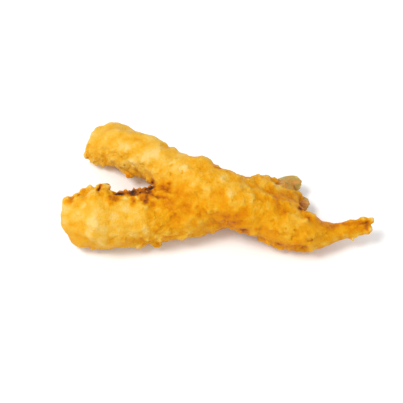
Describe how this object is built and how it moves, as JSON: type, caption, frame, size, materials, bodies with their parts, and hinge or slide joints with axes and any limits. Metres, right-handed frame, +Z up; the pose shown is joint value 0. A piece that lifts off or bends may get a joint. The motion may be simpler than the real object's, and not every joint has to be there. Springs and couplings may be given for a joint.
{
  "type": "fried shrimp",
  "caption": "Battered, deep-fried shrimp piece: rounded crusty lobes that spread in a V from one thick body, with a narrow tail.",
  "frame": {"origin": "bottom centre of the piece as it lies on a table", "axes": "+X from the blunt head ends to the battered tail, +Z up, +Y to the back"},
  "size_m": [0.1368, 0.0676, 0.0312],
  "materials": {
    "crust": "golden fried batter, rough, lightly oiled"
  },
  "bodies": {
    "root": {"fried_shrimp": "crust"}
  },
  "joints": []
}
